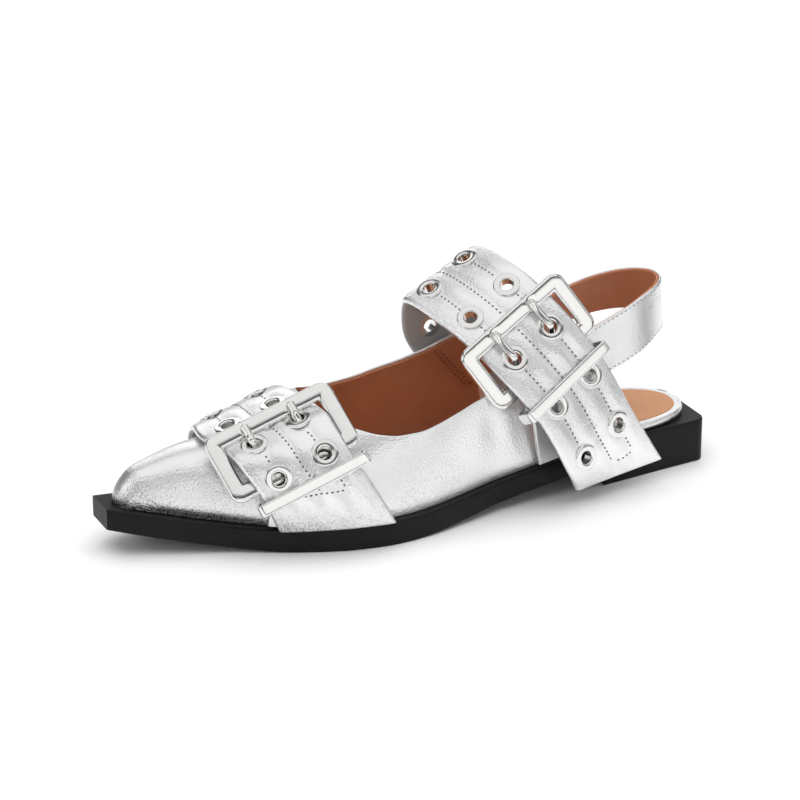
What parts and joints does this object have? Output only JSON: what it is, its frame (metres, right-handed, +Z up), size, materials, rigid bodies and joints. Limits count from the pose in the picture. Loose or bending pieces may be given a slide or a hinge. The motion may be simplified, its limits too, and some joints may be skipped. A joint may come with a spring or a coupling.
{
  "type": "buckle ballet flat",
  "caption": "Pointed metallic leather flat for the left foot with a heel sling, eyelet straps across vamp and instep, pronged buckles, metal keepers and a low black unit sole.",
  "frame": {"origin": "on the floor under the middle of the shoe's bounding box", "axes": "+X from heel to toe, +Y to the outer side of the left foot, +Z up"},
  "size_m": [0.267, 0.0868, 0.0968],
  "materials": {
    "black_rubber": "satin moulded rubber",
    "silver_leather": "foiled silver leather, fine grain",
    "tan_leather": "smooth tan lining leather",
    "nickel": "polished nickel plate"
  },
  "bodies": {
    "root": {"outsole": "black_rubber", "insole": "silver_leather", "sock": "tan_leather", "upper": "silver_leather", "slingback": "silver_leather", "vamp_strap": "silver_leather", "vamp_buckle_frame": "nickel", "vamp_prong_1": "nickel", "vamp_prong_2": "nickel", "vamp_keeper": "nickel", "vamp_buckle_tab": "silver_leather", "instep_strap": "silver_leather", "instep_buckle_frame": "nickel", "instep_prong_1": "nickel", "instep_prong_2": "nickel", "instep_keeper": "nickel", "instep_buckle_tab": "silver_leather", "vamp_strap_eyelet_1_front": "nickel", "vamp_strap_eyelet_1_back": "nickel", "vamp_strap_eyelet_2_front": "nickel", "vamp_strap_eyelet_2_back": "nickel", "vamp_strap_eyelet_3_front": "nickel", "vamp_strap_eyelet_3_back": "nickel", "vamp_strap_eyelet_4_front": "nickel", "vamp_strap_eyelet_4_back": "nickel", "vamp_strap_eyelet_5_front": "nickel", "vamp_strap_eyelet_5_back": "nickel", "instep_strap_eyelet_1_front": "nickel", "instep_strap_eyelet_1_back": "nickel", "instep_strap_eyelet_2_front": "nickel", "instep_strap_eyelet_2_back": "nickel", "instep_strap_eyelet_3_front": "nickel", "instep_strap_eyelet_3_back": "nickel", "instep_strap_eyelet_4_front": "nickel", "instep_strap_eyelet_4_back": "nickel", "instep_strap_eyelet_5_front": "nickel", "instep_strap_eyelet_5_back": "nickel", "instep_strap_eyelet_6_front": "nickel", "instep_strap_eyelet_6_back": "nickel", "instep_strap_eyelet_7_front": "nickel", "instep_strap_eyelet_7_back": "nickel", "instep_strap_eyelet_8_front": "nickel", "instep_strap_eyelet_8_back": "nickel"}
  },
  "joints": []
}
